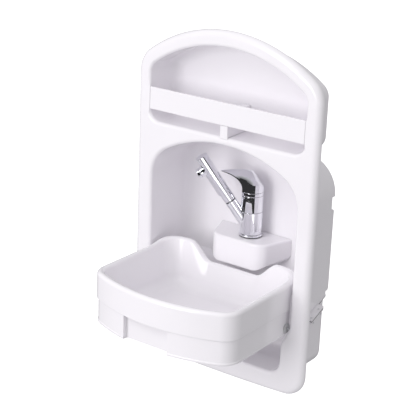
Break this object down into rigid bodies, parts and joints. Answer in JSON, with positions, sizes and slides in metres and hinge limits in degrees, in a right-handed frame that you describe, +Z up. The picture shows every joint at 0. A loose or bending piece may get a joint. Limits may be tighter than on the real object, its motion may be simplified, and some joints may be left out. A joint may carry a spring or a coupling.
{
  "type": "built-in tip-up handwash sink",
  "caption": "Arched white wall panel with a shelf recess and a niche that holds a single-lever tap over a basin that tips up to pour its water into a tub behind the panel.",
  "frame": {"origin": "the middle of the flange's bottom land, on its back face", "axes": "+Y points into the wall, +Z up, +X to the right of someone who stands in front of the sink"},
  "size_m": [0.389, 0.367, 0.6495],
  "materials": {
    "white_abs": "glossy, cool white",
    "chrome": "polished",
    "stainless": "plain",
    "black_rubber": "matt",
    "grey_plastic": "matt",
    "cream_plastic": "matt",
    "brass": "machined",
    "braided_hose": "woven steel braid"
  },
  "bodies": {
    "housing": {"front_panel": "white_abs", "shelf_bar": "white_abs", "sump_box": "white_abs", "sump_gasket": "black_rubber", "drain_seal": "black_rubber", "tap_base_gasket": "black_rubber", "sump_screw_1": "stainless", "sump_screw_2": "stainless", "sump_screw_3": "stainless", "sump_screw_4": "stainless", "bar_screw_left": "stainless", "bar_screw_right": "stainless", "hinge_pin_left": "stainless", "hinge_pin_right": "stainless", "tap_washer": "stainless", "drain_elbow": "grey_plastic", "drain_nut": "grey_plastic", "tap_body": "chrome", "tap_collar": "chrome", "tap_nut": "brass", "cartridge_nut": "brass", "hot_tail_nut": "brass", "cold_tail_nut": "brass", "tap_cartridge": "cream_plastic", "hot_tail": "braided_hose", "cold_tail": "braided_hose", "spray_hose": "braided_hose"},
    "bowl": {"basin_bowl": "white_abs", "basin_cover": "white_abs", "cover_screw_1": "stainless", "cover_screw_2": "stainless", "cover_screw_3": "stainless", "cover_screw_4": "stainless", "hinge_bush_left": "grey_plastic", "hinge_bush_right": "grey_plastic"},
    "spout": {"spout": "chrome", "spout_ring": "black_rubber"},
    "handset": {"handset": "chrome", "aerator": "chrome"},
    "stem": {"cartridge_stem": "cream_plastic"},
    "lever": {"lever": "chrome"}
  },
  "joints": [
    {"name": "basin_fold", "type": "hinge", "parent": "housing", "child": "bowl", "pos_m": [0, -0.004, 0.127], "axis": [-1, 0, 0], "range_deg": [0, 66]},
    {"name": "spout_swivel", "type": "hinge", "parent": "housing", "child": "spout", "pos_m": [0.003, 0.088, 0.27], "axis": [0, 0, 1], "range_deg": [-35, 35]},
    {"name": "handset_pull", "type": "slide", "parent": "spout", "child": "handset", "axis": [-0.4441, -0.3469, 0.8261], "range_m": [0, 0.02]},
    {"name": "lever_turn", "type": "hinge", "parent": "housing", "child": "stem", "pos_m": [0.003, 0.088, 0.315], "axis": [0, 0, 1], "range_deg": [-40, 40]},
    {"name": "lever_lift", "type": "hinge", "parent": "stem", "child": "lever", "pos_m": [0.01797, 0.0997, 0.3318], "axis": [-0.6157, 0.788, 0], "range_deg": [0, 20]}
  ]
}
